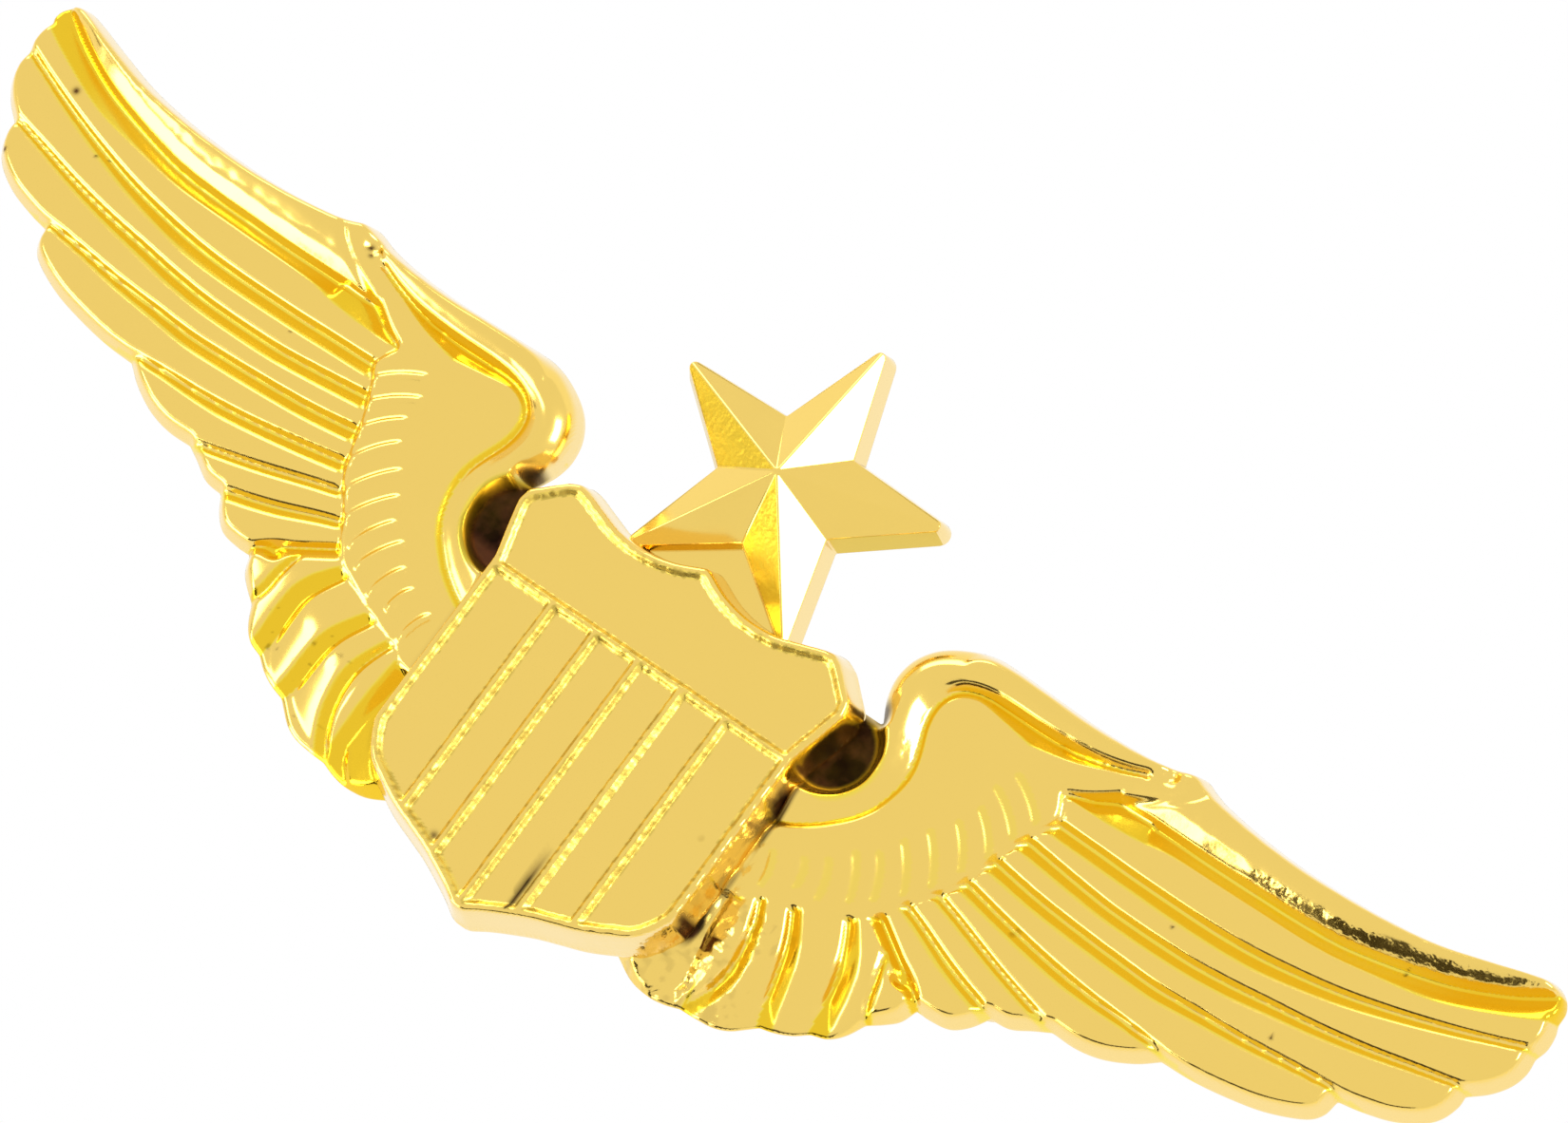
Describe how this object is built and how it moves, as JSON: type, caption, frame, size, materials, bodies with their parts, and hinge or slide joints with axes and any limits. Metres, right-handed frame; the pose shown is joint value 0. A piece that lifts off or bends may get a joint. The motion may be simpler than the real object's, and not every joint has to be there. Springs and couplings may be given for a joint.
{
  "type": "pilot wings pin",
  "caption": "Gold wings badge with a ribbed shield and a faceted star, held by pin posts and butterfly clutches.",
  "frame": {"origin": "on the flat back face, midway between the two pin posts", "axes": "+X along the wing span to the right as seen from the front, +Y towards the star, +Z out of the face; the posts point to -Z"},
  "size_m": [0.0748, 0.0277, 0.0111],
  "materials": {
    "gold_plate": "mirror polished gold plate",
    "post_metal": "gold plated",
    "clutch_brass": "bright stamped brass",
    "spring_strip": "satin"
  },
  "bodies": {
    "badge": {"wing_casting": "gold_plate", "shield": "gold_plate", "star": "gold_plate", "post_left": "post_metal", "post_right": "post_metal"},
    "disc_left": {"clutch_disc_left": "clutch_brass"},
    "cap_left": {"clutch_cap_left": "clutch_brass", "clutch_spring_left": "spring_strip"},
    "inner_ear_left": {"ear_inner_left": "spring_strip"},
    "outer_ear_left": {"ear_outer_left": "spring_strip"},
    "disc_right": {"clutch_disc_right": "clutch_brass"},
    "cap_right": {"clutch_cap_right": "clutch_brass", "clutch_spring_right": "spring_strip"},
    "inner_ear_right": {"ear_inner_right": "spring_strip"},
    "outer_ear_right": {"ear_outer_right": "spring_strip"}
  },
  "joints": [
    {"name": "clutch_left_slide", "type": "slide", "parent": "badge", "child": "disc_left", "axis": [0, 0, -1], "range_m": [0, 0.012]},
    {"name": "clutch_left_spin", "type": "hinge", "parent": "disc_left", "child": "cap_left", "pos_m": [-0.016, 0, -0.00265], "axis": [0, 0, 1], "continuous": true},
    {"name": "ear_inner_left_squeeze", "type": "hinge", "parent": "cap_left", "child": "inner_ear_left", "pos_m": [-0.0128, 0, -0.0039], "axis": [0, 1, 0], "range_deg": [0, 10], "stiffness_Nm_per_rad": 0.02},
    {"name": "ear_outer_left_squeeze", "type": "hinge", "parent": "cap_left", "child": "outer_ear_left", "pos_m": [-0.0192, 0, -0.0039], "axis": [0, -1, 0], "range_deg": [0, 10], "stiffness_Nm_per_rad": 0.02},
    {"name": "clutch_right_slide", "type": "slide", "parent": "badge", "child": "disc_right", "axis": [0, 0, -1], "range_m": [0, 0.012]},
    {"name": "clutch_right_spin", "type": "hinge", "parent": "disc_right", "child": "cap_right", "pos_m": [0.016, 0, -0.00265], "axis": [0, 0, 1], "continuous": true},
    {"name": "ear_inner_right_squeeze", "type": "hinge", "parent": "cap_right", "child": "inner_ear_right", "pos_m": [0.0128, 0, -0.0039], "axis": [0, -1, 0], "range_deg": [0, 10], "stiffness_Nm_per_rad": 0.02},
    {"name": "ear_outer_right_squeeze", "type": "hinge", "parent": "cap_right", "child": "outer_ear_right", "pos_m": [0.0192, 0, -0.0039], "axis": [0, 1, 0], "range_deg": [0, 10], "stiffness_Nm_per_rad": 0.02}
  ]
}
